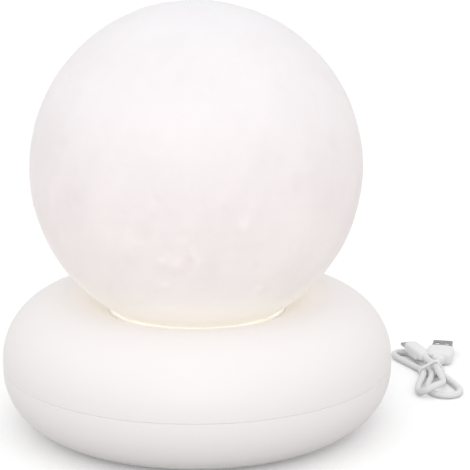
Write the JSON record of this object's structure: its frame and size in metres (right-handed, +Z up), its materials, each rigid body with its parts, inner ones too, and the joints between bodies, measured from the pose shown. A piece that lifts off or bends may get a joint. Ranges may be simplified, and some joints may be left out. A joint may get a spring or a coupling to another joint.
{
  "type": "moon lamp",
  "caption": "Globe-shaped lamp with faint lunar relief, twisted into a wide round base with a rolled rim; rechargeable, with its tied charging cable beside it.",
  "frame": {"origin": "middle of the lamp on the surface that its rubber feet stand on", "axes": "+Z up, -Y to the front, the charging port and button face +Y at the back"},
  "size_m": [0.2668, 0.2252, 0.2335],
  "materials": {
    "globe_shell": "milky white moulded shell with faint lunar relief, satin",
    "base_shell": "white injection moulded plastic, soft satin",
    "seat_silicone": "translucent white silicone",
    "foot_rubber": "pale grey rubber, matt",
    "screw_steel": "zinc plated",
    "collar_plastic": "white moulded plastic",
    "diffuser_plastic": "milky frosted plastic",
    "led_board_white": "white solder mask",
    "led_phosphor": "yellow phosphor under clear resin",
    "circuit_board": "green solder mask",
    "component_black": "black epoxy",
    "ceramic_tan": "tan ceramic body",
    "ferrite_grey": "grey ferrite",
    "header_white": "natural nylon",
    "socket_steel": "tinned steel",
    "button_plastic": "white moulded plastic, satin",
    "light_pipe_clear": "clear moulded rod",
    "holder_black": "black moulded plastic",
    "cell_wrap": "blue shrink sleeve",
    "tab_nickel": "nickel plated strip",
    "wire_red": "red insulation",
    "wire_black": "black insulation",
    "wire_white": "white insulation",
    "cord_white": "white extruded cable jacket, satin",
    "grip_white": "white overmoulded grip, satin",
    "plug_metal": "nickel plated steel",
    "contact_gold": "gold plated",
    "tie_white": "white plastic band"
  },
  "bodies": {
    "base": {"seat_ring": "seat_silicone", "upper_shell": "base_shell", "lower_shell": "base_shell", "rubber_feet": "foot_rubber", "housing_screws": "screw_steel", "led_board": "led_board_white", "led_chips": "led_phosphor", "led_diffuser": "diffuser_plastic", "led_board_screws": "screw_steel", "diffuser_screws": "screw_steel", "led_connector": "header_white", "main_board": "circuit_board", "board_screws": "screw_steel", "usb_socket": "socket_steel", "tact_switch": "component_black", "charge_light_pipe": "light_pipe_clear", "charge_led": "header_white", "control_chips": "component_black", "power_inductor": "ferrite_grey", "capacitors": "ceramic_tan", "board_headers": "header_white", "battery_holder": "holder_black", "battery_cell": "cell_wrap", "battery_tabs": "tab_nickel", "holder_screws": "screw_steel", "led_harness": "wire_white", "battery_lead_red": "wire_red", "battery_lead_black": "wire_black", "usb_cord": "cord_white", "cable_tie": "tie_white", "micro_usb_grip": "grip_white", "micro_usb_tip": "plug_metal", "usb_a_grip": "grip_white", "usb_a_shell": "plug_metal", "usb_a_tongue": "header_white", "usb_a_contacts": "contact_gold"},
    "globe": {"moon_globe": "globe_shell", "globe_collar": "collar_plastic"},
    "button": {"power_button": "button_plastic", "switch_plunger": "header_white"}
  },
  "joints": [
    {"name": "globe_twist", "type": "hinge", "parent": "base", "child": "globe", "pos_m": [0, 0, 0.1435], "axis": [0, 0, 1], "range_deg": [0, 30]},
    {"name": "button_press", "type": "slide", "parent": "base", "child": "button", "axis": [0, -1, 0], "range_m": [0, 0.0008], "stiffness_N_per_m": 1500}
  ]
}
